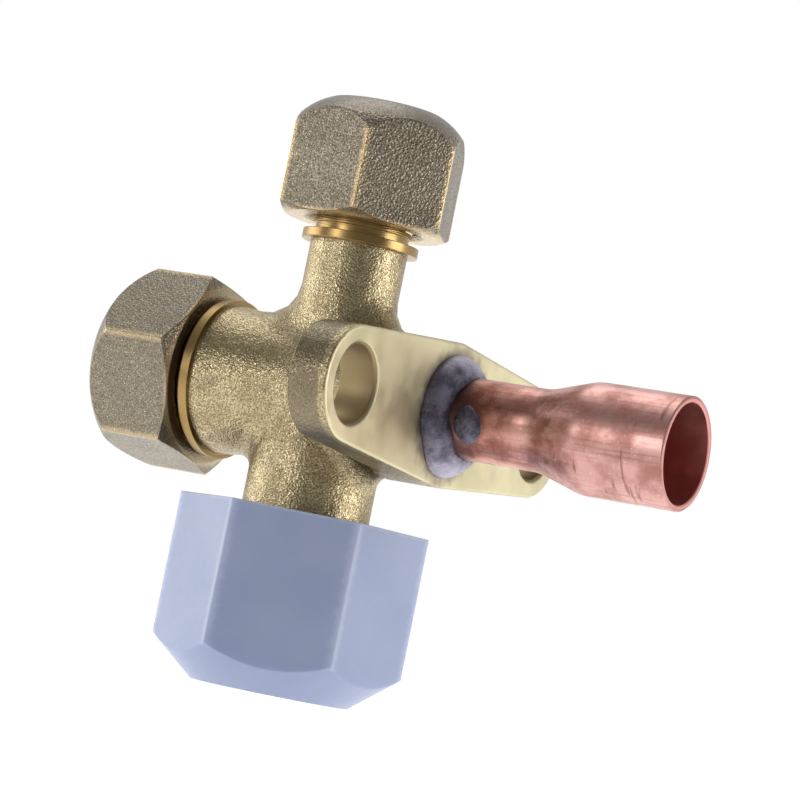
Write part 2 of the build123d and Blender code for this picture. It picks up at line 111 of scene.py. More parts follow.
# %% Place the camera
AZIMUTH, ELEVATION, TILT = 29.20, -4.02, 11.43
SHIFT_X, SHIFT_Y, CAMERA_DISTANCE = -4.93, 1.53, 319.05
FOCAL_SHARE, SENSOR = 4.1373, 36.0
NEAREST, FARTHEST = 0.01, 20.0


def camera_axes(azimuth, elevation, tilt):
    """Rows are the camera's right, up and backward directions: the level ones are found from azimuth
    and elevation, then right and up are turned about the backward one by the tilt."""
    a, e, r = np.radians([azimuth, elevation, tilt])
    back = np.array([np.sin(a) * np.cos(e), -np.cos(a) * np.cos(e), np.sin(e)])
    right = np.array([np.cos(a), np.sin(a), 0.0])
    up = np.cross(back, right)
    turn = np.array([[np.cos(r), np.sin(r), 0], [-np.sin(r), np.cos(r), 0], [0, 0, 1]])
    return turn @ np.array([right, up, back])


def put(obj, rows, place):
    """Links an object to the scene with its three axes given as rows and its place in metres."""
    matrix = np.eye(4)
    matrix[:3, :3], matrix[:3, 3] = np.array(rows).T, place
    bpy.context.scene.collection.objects.link(obj)
    obj.matrix_world = Matrix(matrix.tolist())


axes = camera_axes(AZIMUTH, ELEVATION, TILT)
camera_place = axes.T @ np.array([SHIFT_X, SHIFT_Y, CAMERA_DISTANCE]) * MM
lens = bpy.data.cameras.new("portrait_camera")
lens.sensor_width = SENSOR
lens.lens = SENSOR * FOCAL_SHARE
lens.clip_start, lens.clip_end = NEAREST, FARTHEST
camera = bpy.data.objects.new("portrait_camera", lens)
put(camera, axes, camera_place)
bpy.context.scene.camera = camera
print("camera at", np.round(camera_place, 4).tolist(), "lens", round(lens.lens, 1), "mm")

# %% [markdown]
# ## Working with nodes
#
# The room and every finish are networks of nodes. A network could be clicked together and saved, but
# written out it can be read, and what repeats gets a name: joining two sockets, starting a material,
# writing a colour as it looks on a screen, and sending a value through a smooth ramp.

# %% Define the node helpers
WHITE = (1, 1, 1, 1)
RAMP_ENDS = ("From Min", "From Max", "To Min", "To Max")


def link(tree, source, target):
    """Joins an output socket to an input socket."""
    tree.links.new(source, target)


def fresh_material(name):
    """A new node material, with its tree and its shader."""
    material = bpy.data.materials.new(name)
    material.use_nodes = True
    return material, material.node_tree, material.node_tree.nodes["Principled BSDF"]


def linear(red, green, blue):
    """A colour written in 0 to 255 screen values, as the linear light that nodes work in: below 0.04 a
    straight division, above it a power of 2.4."""
    c = np.array([red, green, blue]) / 255
    out = np.where(c <= 0.04045, c / 12.92, ((c + 0.055) / 1.055) ** 2.4)
    return (*[float(v) for v in out], 1.0)


def smooth_ramp(tree, value, ends):
    """Stretches the part of a value between the first two ends over the last two, along an S, and holds
    it there beyond them."""
    step = tree.nodes.new("ShaderNodeMapRange")
    step.interpolation_type = "SMOOTHSTEP"
    for name, end in zip(RAMP_ENDS, ends):
        step.inputs[name].default_value = end
    link(tree, value, step.inputs["Value"])
    return step.outputs["Result"]


print("node helpers ready")

# %% [markdown]
# ## The floor
#
# Brass is a mirror that has been roughened, so what it shows is the room. A white floor all round would
# bleach it, and a dark one would blacken every underside. This one is a pale matt sheet over a light
# table: for the camera it is lifted evenly towards white, and for everything else it glows near the
# valve, a little more in what the metal mirrors, and fades towards the side where the camera stands.
# It still takes the shadow. The glow is kept out of the lamp sampling, which would treat it as even.

# %% Lay the floor
bpy.context.scene.view_settings.view_transform = "Standard"
DIM_SIDE = (0.49, -0.87, -0.05)
FLOOR_CLEARANCE, FLOOR_SIZE = 0.05 * MM, 6.0
FLOOR_COLOUR, FLOOR_ROUGHNESS = (0.86, 0.86, 0.86, 1), 0.9
GLOW_RAMP = (0.02, 0.13, 1.0, 0.0)
GLOW, MIRRORED_GLOW, CAMERA_LIFT = 0.36, 0.40, 0.62


def towards_dim_side(tree, place, ends):
    """The dot product of a place with the direction of the dim side, sent through a smooth ramp."""
    along = tree.nodes.new("ShaderNodeVectorMath")
    along.operation = "DOT_PRODUCT"
    along.inputs[1].default_value = DIM_SIDE
    link(tree, place, along.inputs[0])
    return smooth_ramp(tree, along.outputs["Value"], ends)


def pale_floor():
    """Glow for other rays is the ramp times the sum of a plain share and a share for glossy rays; a
    camera ray gets an even lift in its place."""
    material, tree, shader = fresh_material("pale_floor")
    shader.inputs["Base Color"].default_value = FLOOR_COLOUR
    shader.inputs["Roughness"].default_value = FLOOR_ROUGHNESS
    shader.inputs["Emission Color"].default_value = WHITE
    material.cycles.emission_sampling = "NONE"
    path = tree.nodes.new("ShaderNodeLightPath")
    where = tree.nodes.new("ShaderNodeTexCoord")
    share, near = (tree.nodes.new("ShaderNodeMath") for _ in range(2))
    share.operation, near.operation = "MULTIPLY_ADD", "MULTIPLY"
    share.inputs[1].default_value, share.inputs[2].default_value = MIRRORED_GLOW, GLOW
    lift = tree.nodes.new("ShaderNodeMix")
    lift.inputs["B"].default_value = CAMERA_LIFT
    link(tree, path.outputs["Is Glossy Ray"], share.inputs[0])
    link(tree, share.outputs[0], near.inputs[0])
    link(tree, towards_dim_side(tree, where.outputs["Object"], GLOW_RAMP), near.inputs[1])
    link(tree, path.outputs["Is Camera Ray"], lift.inputs["Factor"])
    link(tree, near.outputs[0], lift.inputs["A"])
    link(tree, lift.outputs["Result"], shader.inputs["Emission Strength"])
    return material


def build_floor():
    """A large square that lies below the lowest solid by the way that the plastic cap is pulled."""
    z = solid_box[0][2] - (reach["flare_cap_pull"] + FLOOR_CLEARANCE)
    h = FLOOR_SIZE / 2
    mesh = bpy.data.meshes.new("floor")
    mesh.from_pydata([(-h, -h, z), (h, -h, z), (h, h, z), (-h, h, z)], [], [(0, 1, 2, 3)])
    mesh.materials.append(pale_floor())
    floor = bpy.data.objects.new("floor", mesh)
    bpy.context.scene.collection.objects.link(floor)
    return z


print("floor at z =", round(build_floor() / MM, 2), "mm")

# %% [markdown]
# ## The sky
#
# The camera sees plain white behind the valve. For the metal the same sky is pale all round but darker
# on the camera's side, as in a studio that is lit from the back and the sides. A picture of such a room
# could do that too, but one direction and one ramp are enough and need no file.

# %% Build the sky
SKY_RAMP = (-0.60, 0.50, 0.85, 0.15)


def build_sky():
    """White to the camera; to everything else a strength that falls along the dim side."""
    world = bpy.data.worlds.new("studio")
    bpy.context.scene.world = world
    world.use_nodes = True
    tree = world.node_tree
    tree.nodes.clear()
    where = tree.nodes.new("ShaderNodeTexCoord")
    path = tree.nodes.new("ShaderNodeLightPath")
    mix = tree.nodes.new("ShaderNodeMixShader")
    out = tree.nodes.new("ShaderNodeOutputWorld")
    lit, plain = (tree.nodes.new("ShaderNodeBackground") for _ in range(2))
    for background in (lit, plain):
        background.inputs["Color"].default_value = WHITE
    plain.inputs["Strength"].default_value = 1.0
    strength = towards_dim_side(tree, where.outputs["Generated"], SKY_RAMP)
    link(tree, strength, lit.inputs["Strength"])
    link(tree, path.outputs["Is Camera Ray"], mix.inputs[0])
    link(tree, lit.outputs[0], mix.inputs[1])
    link(tree, plain.outputs[0], mix.inputs[2])
    link(tree, mix.outputs[0], out.inputs["Surface"])
    return world


print("sky:", build_sky().name)

# %% [markdown]
# ## The lamps
#
# Bare bulbs would leave hard dots in the metal. Four square lamps draw soft bands along the necks
# instead, and light the two side faces of the plastic cap more than its front. Each is given a place
# and turned to the valve by two cross products, so no constraint is needed.

# %% Hang the lamps
def soft_lamp(name, place, size, watts):
    """A square area lamp at a place in metres, turned to face the valve's middle."""
    data = bpy.data.lights.new(name, "AREA")
    data.size, data.energy = size, watts
    back = np.array(place) - np.array([riser_x, 0, 0])
    back /= np.linalg.norm(back)
    right = np.cross([0.0, 0.0, 1.0], back)
    right /= np.linalg.norm(right)
    lamp = bpy.data.objects.new(name, data)
    put(lamp, [right, np.cross(back, right), back], place)
    return lamp


lamps = [
    soft_lamp("lamp_left", (-0.17, -0.42, 0.06), 0.13, 0.36),
    soft_lamp("lamp_side", (-0.46, -0.08, 0.06), 0.30, 0.74),
    soft_lamp("lamp_right", (0.42, 0.12, 0.05), 0.26, 0.94),
    soft_lamp("lamp_top", (-0.16, 0.10, 0.48), 0.34, 0.55),
]
print("lamps:", [lamp.name for lamp in lamps])

# %% [markdown]
# ## A small kit for finishes
#
# Each finish below is a little network: where am I on the piece, what does chance say there, and what
# does that do to colour, gloss and relief. The same few sums come back each time, so they are named
# once. All of them start from Object coordinates, which stay glued to a piece when it moves.

# %% Define the sums
COLOUR_SOCKETS, MIXED_COLOUR = (0, 6, 7), 2


class Network:
    """A material under construction. Its methods add one step each and hand back an output socket."""

    def __init__(self, name, metallic=1.0):
        self.material, self.tree, self.shader = fresh_material(name)
        self.shader.inputs["Metallic"].default_value = metallic
        self.place = self.tree.nodes.new("ShaderNodeTexCoord").outputs["Object"]
        split = self.tree.nodes.new("ShaderNodeSeparateXYZ")
        link(self.tree, self.place, split.inputs[0])
        self.x, self.y, self.z = (split.outputs[k] for k in "XYZ")

    def feed(self, socket, value):
        """Puts a number, a colour or another step's output into a socket."""
        if isinstance(value, bpy.types.NodeSocket):
            link(self.tree, value, socket)
        else:
            socket.default_value = value

    def math(self, kind, *values):
        """One sum of up to three values, such as LESS_THAN."""
        step = self.tree.nodes.new("ShaderNodeMath")
        step.operation = kind
        for socket, value in zip(step.inputs, values):
            self.feed(socket, value)
        return step.outputs[0]

    def plus(self, a, b):
        """Two values added."""
        return self.math("ADD", a, b)

    def times(self, a, b):
        """Two values multiplied: for two masks, where both hold."""
        return self.math("MULTIPLY", a, b)

    def most(self, a, b):
        """The larger of two values: for two masks, where either holds."""
        return self.math("MAXIMUM", a, b)

    def without(self, share):
        """One less a share: where a mask doesn't hold."""
        return self.math("SUBTRACT", 1.0, share)

    def radius(self, u, v, cu=0.0, cv=0.0):
        """The distance of a point from a line along an axis: the root of two squares added."""
        du, dv = self.math("SUBTRACT", u, cu), self.math("SUBTRACT", v, cv)
        return self.math("SQRT", self.plus(self.times(du, du), self.times(dv, dv)))

    def rings(self, distance, pitch):
        """Fine tool marks: a sine of a distance, one wave to a pitch."""
        wave = self.math("SINE", self.times(distance, 2 * math.pi / pitch))
        return self.math("MULTIPLY_ADD", wave, 0.5, 0.5)

    def spread(self, value, low, high, out_low=0.0, out_high=1.0):
        """The part of a value between low and high, stretched smoothly over a new range."""
        return smooth_ramp(self.tree, value, (low, high, out_low, out_high))

    def mix(self, share, first, second):
        """Colour first where share is 0 and second where it is 1. The step keeps sockets for numbers and
        vectors too, so those for colour are picked by their place in the list."""
        step = self.tree.nodes.new("ShaderNodeMix")
        step.data_type = "RGBA"
        for place, value in zip(COLOUR_SOCKETS, (share, first, second)):
            self.feed(step.inputs[place], value)
        return step.outputs[MIXED_COLOUR]

    def paint(self, skin, *coats):
        """Coats of colour laid over a skin one after the other, each let through by its own share."""
        for share, coat in coats:
            skin = self.mix(share, skin, coat)
        return skin


print("sums ready")

# %% [markdown]
# Chance comes from two patterns, smooth noise and scattered cells. Noise lies mostly between 0.3 and
# 0.7, so that middle is what most finishes spread out. What chance decides ends in colour, gloss or
# relief. Relief could move the surface itself, but grain this fine would need millions of faces, so it
# only tilts the shading, and a bevel in the same step rounds the solids' sharp edges.

# %% Define the patterns and the ends of a finish
BEVEL_SAMPLES = 6
MIDDLE, NARROW_MIDDLE = (0.3, 0.7), (0.35, 0.65)


class Finish(Network):
    """A network with patterns of chance, and with the three ends that the shader takes."""

    def stretched(self, sx, sy, sz):
        """The place on the piece with each axis scaled, which draws a pattern out along an axis."""
        step = self.tree.nodes.new("ShaderNodeMapping")
        step.inputs["Scale"].default_value = (sx, sy, sz)
        link(self.tree, self.place, step.inputs["Vector"])
        return step.outputs[0]

    def noise(self, per_metre, detail=2.0, rough=0.5, place=None):
        """Smooth chance between 0 and 1, with about that many bumps in a metre."""
        step = self.tree.nodes.new("ShaderNodeTexNoise")
        link(self.tree, place or self.place, step.inputs["Vector"])
        for socket, value in (("Scale", per_metre), ("Detail", detail), ("Roughness", rough)):
            step.inputs[socket].default_value = value
        return step.outputs["Fac"]

    def cells(self, per_metre):
        """The distance to the nearest of many scattered points: small pits, all of a size."""
        step = self.tree.nodes.new("ShaderNodeTexVoronoi")
        link(self.tree, self.place, step.inputs["Vector"])
        step.inputs["Scale"].default_value = per_metre
        return step.outputs["Distance"]

    def ragged(self, value, per_metre, width):
        """A value pushed up and down by chance, by up to width, so that an edge drawn by it frays."""
        return self.plus(value, self.times(self.noise(per_metre, 3.0), width))

    def colour(self, value):
        """Sets the base colour."""
        self.feed(self.shader.inputs["Base Color"], value)

    def gloss(self, value):
        """Sets the roughness."""
        self.feed(self.shader.inputs["Roughness"], value)

    def relief(self, height, depth, soften=0.0):
        """Tilts the shading as if the surface rose by depth where height is 1, and rounds sharp edges by
        soften, both in metres."""
        bump = self.tree.nodes.new("ShaderNodeBump")
        bump.inputs["Strength"].default_value = 1.0
        bump.inputs["Distance"].default_value = depth
        self.feed(bump.inputs["Height"], height)
        if soften:
            edge = self.tree.nodes.new("ShaderNodeBevel")
            edge.samples = BEVEL_SAMPLES
            edge.inputs["Radius"].default_value = soften
            link(self.tree, edge.outputs[0], bump.inputs["Normal"])
        link(self.tree, bump.outputs[0], self.shader.inputs["Normal"])


def dress(material, *names):
    """Puts a material in every slot of these solids."""
    for name in names:
        for material_slot in nodes[name].material_slots:
            material_slot.material = material


print("finish kit ready")

# %% [markdown]
# ## The forged body
#
# The body was squeezed hot between two dies, then shot-blasted: dull, grainy, olive gold. Only what
# must seal or fit was cut afterwards, and there the brass is bright: the flange's face, the bolt holes,
# and the collars and threads of the three ports. It could be split into a forged and a cut piece, but
# the real body is one, so the network decides by place which it is. First come the limits in x, y and
# z that tell the zones apart, as masks that are 1 in a zone and 0 outside it.

# %% Tell the cut zones from the forging
FACE_X, STEM_END_X, TOP_Z, BOTTOM_Z = -0.12 * MM, -25.35 * MM, 14.85 * MM, -12.55 * MM
BOLT_Y, HOLE_REACH = 19.1 * MM, 4.1 * MM
FLANGE_BACK_X = -5.2 * MM
EDGE_FROM_Y, EDGE_FULL_Y = 8.5 * MM, 16.0 * MM
EDGE_FULL_X, EDGE_GONE_X, EDGE_SHARE = -1.1 * MM, -0.6 * MM, 0.70


def body_zones(f):
    """Masks of the flange's face, the walls of the bolt holes, the three port ends, and the outer edge
    of the flange, which fades in along y and fades out just behind the face."""
    side = f.math("ABSOLUTE", f.y)
    face = f.math("GREATER_THAN", f.x, FACE_X)
    hole = f.math("LESS_THAN", f.radius(side, f.z, BOLT_Y, 0.0), HOLE_REACH)
    ports = f.most(f.math("LESS_THAN", f.x, STEM_END_X), f.math("GREATER_THAN", f.z, TOP_Z))
    ports = f.most(ports, f.math("LESS_THAN", f.z, BOTTOM_Z))
    edge = f.times(f.math("GREATER_THAN", f.x, FLANGE_BACK_X), f.spread(side, EDGE_FROM_Y, EDGE_FULL_Y))
    edge = f.times(edge, f.spread(f.x, EDGE_FULL_X, EDGE_GONE_X, EDGE_SHARE, 0.0))
    return face, hole, ports, edge


print("cut beyond z =", round(TOP_Z / MM, 2), "and", round(BOTTOM_Z / MM, 2), "mm, and x =",
      round(STEM_END_X / MM, 2), "mm")

# %% [markdown]
# Then the colours are laid over each other, each where a patch of chance or a zone lets it through:
# dark hollows and pale tops for the grain, painted glints as small bright specks of highlight, stains,
# and on the face the stain that the torch left round the braze. A cut zone gets faint tool rings in
# place of grain.

# %% Finish the forged body
OLIVE, PALE_OLIVE, OLIVE_PATCH = linear(128, 114, 85), linear(206, 190, 152), linear(132, 116, 86)
BODY_GLINT, STAIN, EDGE_BROWN = linear(236, 220, 176), linear(104, 96, 84), linear(108, 98, 84)
FACE_BRASS, PALE_FACE_BRASS = linear(200, 190, 154), linear(216, 206, 172)
TORCH_STAIN, PORT_GOLD, HOLE_SHADE_BRASS = linear(126, 114, 106), linear(156, 130, 84), linear(152, 134, 100)
STAIN_FROM, STAIN_TO, STAIN_FRAY = 7.1 * MM, 8.8 * MM, 2.6 * MM
BODY_GRAIN, BODY_GLINTS, BODY_PITS, BODY_DENTS = 6200, 5200, 4600, 950
STAIN_FRAYS, BODY_STAINS, BODY_PATCHES = 700, 420, 260
GRAIN_HEIGHT, DENT_HEIGHT, TOOL_HEIGHT = 0.6, 2.4, 0.10
BLASTED_GLOSS, FACE_GLOSS, PORT_SHINE = (0.48, 0.30), (0.46, 0.56), 0.20
GRAIN_DEPTH, BODY_EDGE, BODY_TOOL_PITCH = 0.038 * MM, 0.18 * MM, 0.22 * MM


def forged_colour(f, grain, patches, edge):
    """Olive grain, patched, with painted glints, stained, and browner at the flange's edge."""
    stains = f.noise(BODY_STAINS, 4.0, 0.6)
    # The bright specks are painted glints: highlight laid into the colour.
    return f.paint(f.mix(f.spread(grain, 0.32, 0.68), OLIVE, PALE_OLIVE),
                   (f.spread(patches, 0.35, 0.70, 0.0, 0.5), OLIVE_PATCH),
                   (f.spread(f.noise(BODY_GLINTS), 0.66, 0.73, 0.0, 0.55), BODY_GLINT),
                   (f.spread(stains, 0.58, 0.70, 0.0, 0.45), STAIN),
                   (edge, EDGE_BROWN))


def cut_colour(f, patches, face, hole, ports):
    """Pale brass on the face, stained round the tube, more golden on the ports, and darker in the holes as
    painted shade.
    """
    from_tube = f.ragged(f.radius(f.y, f.z), STAIN_FRAYS, STAIN_FRAY)
    return f.paint(f.mix(f.spread(patches, *MIDDLE), FACE_BRASS, PALE_FACE_BRASS),
                   (f.spread(from_tube, STAIN_FROM, STAIN_TO, 0.75, 0.0), TORCH_STAIN),
                   (ports, PORT_GOLD),
                   # The hole walls are painted darker: painted shade in the bolt holes.
                   (f.times(hole, f.without(face)), HOLE_SHADE_BRASS))


def forged_brass():
    """A forged and a cut skin, chosen by the cut mask in colour, gloss and relief. Where forged, relief is
    pits plus a share of the grain plus broad dents; where cut, it is faint tool rings."""
    f = Finish("forged_brass")
    face, hole, ports, edge = body_zones(f)
    cut = f.most(f.most(face, hole), ports)
    grain, patches = f.noise(BODY_GRAIN, 2.0, 0.55), f.noise(BODY_PATCHES)
    f.colour(f.mix(cut, forged_colour(f, grain, patches, edge), cut_colour(f, patches, face, hole, ports)))
    rough_forged = f.spread(grain, *MIDDLE, *BLASTED_GLOSS)
    rough_cut = f.math("SUBTRACT", f.spread(patches, *MIDDLE, *FACE_GLOSS), f.times(ports, PORT_SHINE))
    f.gloss(f.plus(f.times(cut, rough_cut), f.times(f.without(cut), rough_forged)))
    blasted = f.math("MULTIPLY_ADD", grain, GRAIN_HEIGHT, f.cells(BODY_PITS))
    blasted = f.plus(blasted, f.times(f.noise(BODY_DENTS), DENT_HEIGHT))
    marks = f.times(f.rings(f.radius(f.y, f.z), BODY_TOOL_PITCH), TOOL_HEIGHT)
    height = f.plus(f.times(blasted, f.without(cut)), f.times(marks, cut))
    f.relief(height, GRAIN_DEPTH, BODY_EDGE)
    return f.material


dress(forged_brass(), "valve_body")
print("body finished")

# %% [markdown]
# ## The two brass caps
#
# Both caps are hexagons that were blasted after machining, the small one much more coarsely. Their
# domed ends were turned last, so they are smoother. Corners and rims are painted bright: partly wear,
# because they rub, and partly a painted highlight along the corner lines. Two separate materials could
# be drawn, but the caps were made alike, so one function serves both; what differs is how coarse the
# speckle is, how strongly the corners are worn and highlit, and where the dome begins.

# %% Define the cap finish
GLINT, WORN_AND_HIGHLIT_BRASS, TURNED_INSIDE = linear(238, 228, 204), linear(222, 196, 152), linear(200, 178, 120)
DOME_BLEND, CAP_EDGE, CAP_TOOL_PITCH = 0.8 * MM, 0.22 * MM, 0.18 * MM
CORNER_FRAY, CORNER_IN, CORNER_OUT = 0.22 * MM, 0.20 * MM, 0.05 * MM
RIM_FRAY, RIM_FULL, RIM_GONE = 0.5 * MM, 0.35 * MM, 0.70 * MM
CORNER_FRAYS, RIM_FRAYS, CAP_PATCHES = 1900, 1500, 220
GLINT_FINENESS, PIT_FINENESS = 1.5, 0.8
DOME_CLEARS, DOME_RELIEF, CAP_GRAIN_HEIGHT, CAP_TOOL_HEIGHT, WORN_SHINE = 0.75, 0.35, 0.5, 0.06, 0.10
BORE_SLACK = 0.02 * MM


def cap_zones(f, axis, dome_start, rim, across_flats, bore):
    """Shares of dome, of wear with painted highlight, and of bore. The dome comes in with the distance
    along the cap's axis past its start. A hexagon's corner is the only place that lies further from the
    axis than its flats do, so that distance says where metal is worn and gets a painted highlight; so is
    the rim. Nearer than the bore's wall is the bore."""
    along = f.times(f.x, -1.0) if axis == "x" else f.z
    across = f.radius(f.y, f.z) if axis == "x" else f.radius(f.x, f.y, riser_x, 0.0)
    dome = f.spread(along, dome_start, dome_start + DOME_BLEND)
    corner = across_flats / math.sqrt(3.0)
    worn_and_highlit = f.spread(f.ragged(across, CORNER_FRAYS, CORNER_FRAY), corner - CORNER_IN, corner + CORNER_OUT)
    worn_and_highlit_rim = f.spread(f.ragged(along, RIM_FRAYS, RIM_FRAY), rim + RIM_FULL, rim + RIM_GONE, 0.85, 0.0)
    within = f.times(f.math("LESS_THAN", across, bore + BORE_SLACK), f.spread(dome, 0.0, 0.1, 1.0, 0.0))
    return across, dome, f.most(worn_and_highlit, worn_and_highlit_rim), within


def cap_brass(name, colours, coarse, depth, wear_and_highlight, **zones):
    """Speckle from grain and pits between a dark and a light colour, cleared towards the dome, with
    corners and rim painted as wear and highlight.
    """
    f = Finish(name)
    dark, light, dome_colour = colours
    across, dome, worn_and_highlit, within = cap_zones(f, **zones)
    grain = f.noise(coarse, 3.0, 0.65)
    f.colour(f.paint(f.mix(f.spread(grain, 0.34, 0.66), dark, light),
                     (f.spread(f.noise(CAP_PATCHES), 0.35, 0.75, 0.0, 0.35), dark),
                     (f.spread(f.noise(coarse * GLINT_FINENESS), 0.63, 0.70, 0.0, 0.7), GLINT),
                     (f.times(dome, DOME_CLEARS), dome_colour),
                     # Corners and rim are painted paler: partly wear, partly a painted highlight on the
                     # corner lines.
                     (f.times(worn_and_highlit, wear_and_highlight), WORN_AND_HIGHLIT_BRASS),
                     (within, TURNED_INSIDE)))
    shine = f.times(worn_and_highlit, WORN_SHINE * wear_and_highlight)
    f.gloss(f.math("SUBTRACT", f.spread(grain, *MIDDLE, *BLASTED_GLOSS), shine))
    blasted = f.math("MULTIPLY_ADD", grain, CAP_GRAIN_HEIGHT, f.cells(coarse * PIT_FINENESS))
    blasted = f.times(blasted, f.spread(dome, 0.0, 1.0, 1.0, DOME_RELIEF))
    marks = f.times(f.rings(across, CAP_TOOL_PITCH), CAP_TOOL_HEIGHT)
    f.relief(f.plus(blasted, f.times(marks, dome)), depth, CAP_EDGE)
    return f.material


print("cap finish ready")

# %% [markdown]
# The places come from the boxes of the two caps. The stem cap points along minus x, so along its axis
# its dome is measured from the lowest x, with the sign turned.

# %% Finish the caps
STEM_BORE, SERVICE_BORE = 7.05 * MM, 5.606 * MM
STEM_CAP_FLATS, SERVICE_CAP_FLATS = 17.64 * MM, 16.0 * MM
STEM_DOME, SERVICE_DOME = 1.8 * MM, 2.2 * MM
service_low, service_high = corners("service_cap")
stem_cap_low, stem_cap_high = corners("stem_cap")
dress(cap_brass("service_cap_brass", (linear(98, 90, 77), linear(171, 160, 140), linear(121, 114, 106)),
                coarse=4800, depth=0.034 * MM, wear_and_highlight=0.75, axis="z", rim=service_low[2],
                dome_start=service_high[2] - SERVICE_DOME, across_flats=SERVICE_CAP_FLATS,
                bore=SERVICE_BORE), "service_cap")
dress(cap_brass("stem_cap_brass", (linear(106, 98, 84), linear(150, 140, 122), linear(182, 174, 160)),
                coarse=5600, depth=0.028 * MM, wear_and_highlight=0.40, axis="x", rim=-stem_cap_high[0],
                dome_start=-stem_cap_low[0] - STEM_DOME, across_flats=STEM_CAP_FLATS,
                bore=STEM_BORE), "stem_cap")
print("caps finished, domes from", round((service_high[2] - SERVICE_DOME) / MM, 2), "and",
      round((stem_cap_low[0] + STEM_DOME) / MM, 2), "mm")

# %% [markdown]
# ## The copper stub
#
# The stub was drawn, so it has faint lines along it; its end was driven over a mandrel, which left
# faint rings; and the torch that brazed it browned and mottled it near the flange. The marks could be
# drawn on a sheet and wrapped round the tube, but noise stretched along one axis gives lines or rings
# without a seam. Inside, the bore is painted a light pink, painted light that lifts the deep shade
# there. Whether a point is inside is told by its distance from the tube's axis, which must allow for
# the wider, expanded end.

# %% Finish the copper
PINK, ROSE, HEATED_PINK, HEATED_ROSE = (
    linear(204, 158, 150), linear(172, 122, 112), linear(196, 138, 120), linear(140, 86, 72))
DRAWN_LINE, SCORE, COPPER_GLINT = linear(118, 72, 64), linear(112, 66, 58), linear(246, 226, 218)
BROWN_PATCH, SOOT, LIFTED_BORE_COPPER = linear(128, 78, 62), linear(84, 66, 70), linear(216, 152, 144)
FLARE_STARTS, FLARE_ENDS, WALL_MIDDLE, WIDE_WALL_MIDDLE = 10.3 * MM, 15.4 * MM, 3.72 * MM, 5.17 * MM
HEAT_FULL, HEAT_GONE = 3.0 * MM, 13.0 * MM
DROP_X, DROP_Z, TUBE_OUTER = 3.9 * MM, -0.95 * MM, 4.0 * MM
DROP_SOOT, DROP_CLEAN, SOOT_FRAY = 1.5 * MM, 2.9 * MM, 1.2 * MM
TUBE_SOOT, TUBE_CLEAN = 2.4 * MM, 4.6 * MM
PATCH_IN, PATCH_OUT = (8.0 * MM, 11.5 * MM), (13.0 * MM, 16.5 * MM)
COPPER_GLINTS, DRAWN_LINES, DRAWN_RINGS, SCORES = 4200, 3000, 2400, 1500
SOOT_FRAYS, PATCH_ISLANDS, MOTTLING = 900, 620, 330
ALONG_X, ROUND_X, SHORT_ROUND_X = (0.04, 1.0, 1.0), (1.0, 0.03, 0.03), (1.0, 0.12, 0.12)
COPPER_GLOSS, RING_HEIGHT, LINE_DEPTH, COPPER_EDGE = (0.34, 0.50), 0.35, 0.014 * MM, 0.06 * MM


def sooted(f):
    """The share of soot: near the braze along x, and on the near side round the stray drop, frayed."""
    from_drop = f.ragged(f.radius(f.x, f.z, DROP_X, DROP_Z), SOOT_FRAYS, SOOT_FRAY)
    round_drop = f.spread(from_drop, DROP_SOOT, DROP_CLEAN, 0.85, 0.0)
    round_drop = f.times(round_drop, f.math("LESS_THAN", f.y, 0.0))
    return f.most(round_drop, f.spread(f.x, TUBE_SOOT, TUBE_CLEAN, 0.75, 0.0))


def brown_patch(f):
    """The share of a brown bruise that lies across the widening, torn into islands by chance."""
    band = f.times(f.spread(f.x, *PATCH_IN), f.spread(f.x, *PATCH_OUT, 1.0, 0.0))
    return f.times(band, f.spread(f.noise(PATCH_ISLANDS, 3.0), 0.46, 0.64, 0.0, 0.6))


def copper_skin():
    """Pink copper, lined along x and scored round it, browned towards the flange, and painted light pink
    in the bore to lift its shade.
    """
    f = Finish("copper_skin")
    mottling = f.noise(MOTTLING, 4.0, 0.6)
    lines = f.noise(DRAWN_LINES, place=f.stretched(*ALONG_X))
    rings = f.noise(DRAWN_RINGS, place=f.stretched(*ROUND_X))
    scores = f.noise(SCORES, place=f.stretched(*SHORT_ROUND_X))
    wall = f.spread(f.x, FLARE_STARTS, FLARE_ENDS, WALL_MIDDLE, WIDE_WALL_MIDDLE)
    inside = f.math("LESS_THAN", f.radius(f.y, f.z), wall)
    heated = f.mix(f.spread(mottling, *NARROW_MIDDLE), HEATED_PINK, HEATED_ROSE)
    f.colour(f.paint(f.mix(f.spread(mottling, 0.35, 0.68), PINK, ROSE),
                     (f.spread(f.x, HEAT_FULL, HEAT_GONE, 1.0, 0.0), heated),
                     (f.times(f.spread(lines, 0.52, 0.72), 0.30), DRAWN_LINE),
                     (f.times(f.spread(scores, 0.66, 0.72), 0.55), SCORE),
                     (f.spread(f.noise(COPPER_GLINTS, 1.0), 0.70, 0.76, 0.0, 0.5), COPPER_GLINT),
                     (brown_patch(f), BROWN_PATCH),
                     (sooted(f), SOOT),
                     # The bore is painted light pink: painted light that lifts the shade inside the tube.
                     (inside, LIFTED_BORE_COPPER)))
    f.gloss(f.spread(mottling, *MIDDLE, *COPPER_GLOSS))
    f.relief(f.plus(lines, f.times(rings, RING_HEIGHT)), LINE_DEPTH, COPPER_EDGE)
    return f.material


dress(copper_skin(), "copper_tube")
print("copper finished")

# %% [markdown]
# ## The moulded cap
#
# The flare port wears a blue-grey plastic cap. Moulded plastic is even in colour, slightly waxy, and
# lets a little light in, which softens its edges. A trace of scattering under the surface does that
# better than a paler paint, and a very fine orange-peel keeps the flats from looking printed. The
# corners and top rim also get a painted highlight, a little paler.

